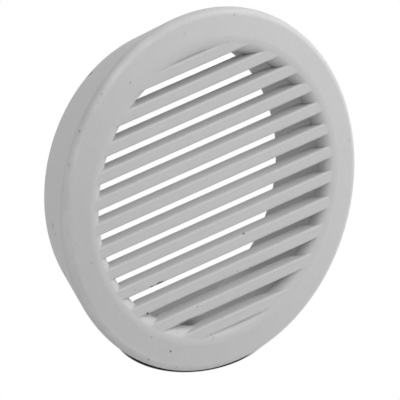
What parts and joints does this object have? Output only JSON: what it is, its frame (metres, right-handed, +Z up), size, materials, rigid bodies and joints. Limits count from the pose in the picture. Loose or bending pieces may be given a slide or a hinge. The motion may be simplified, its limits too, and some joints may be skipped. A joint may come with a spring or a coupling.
{
  "type": "round vent cover",
  "caption": "Round moulded plastic vent cover: a tapered, open-backed skirt behind a broad rounded ring, with straight horizontal louvre blades across the opening.",
  "frame": {"origin": "on the cover's axis, in the plane of the open rear rim", "axes": "+Y along the cover's axis, out of the open rear; the louvred face looks along -Y. X runs along the blades and +Z is up."},
  "size_m": [0.125, 0.028, 0.125],
  "materials": {
    "plastic": "plain light grey moulded plastic, satin, slightly soiled with small dark specks"
  },
  "bodies": {
    "root": {"vent_cover": "plastic"}
  },
  "joints": []
}
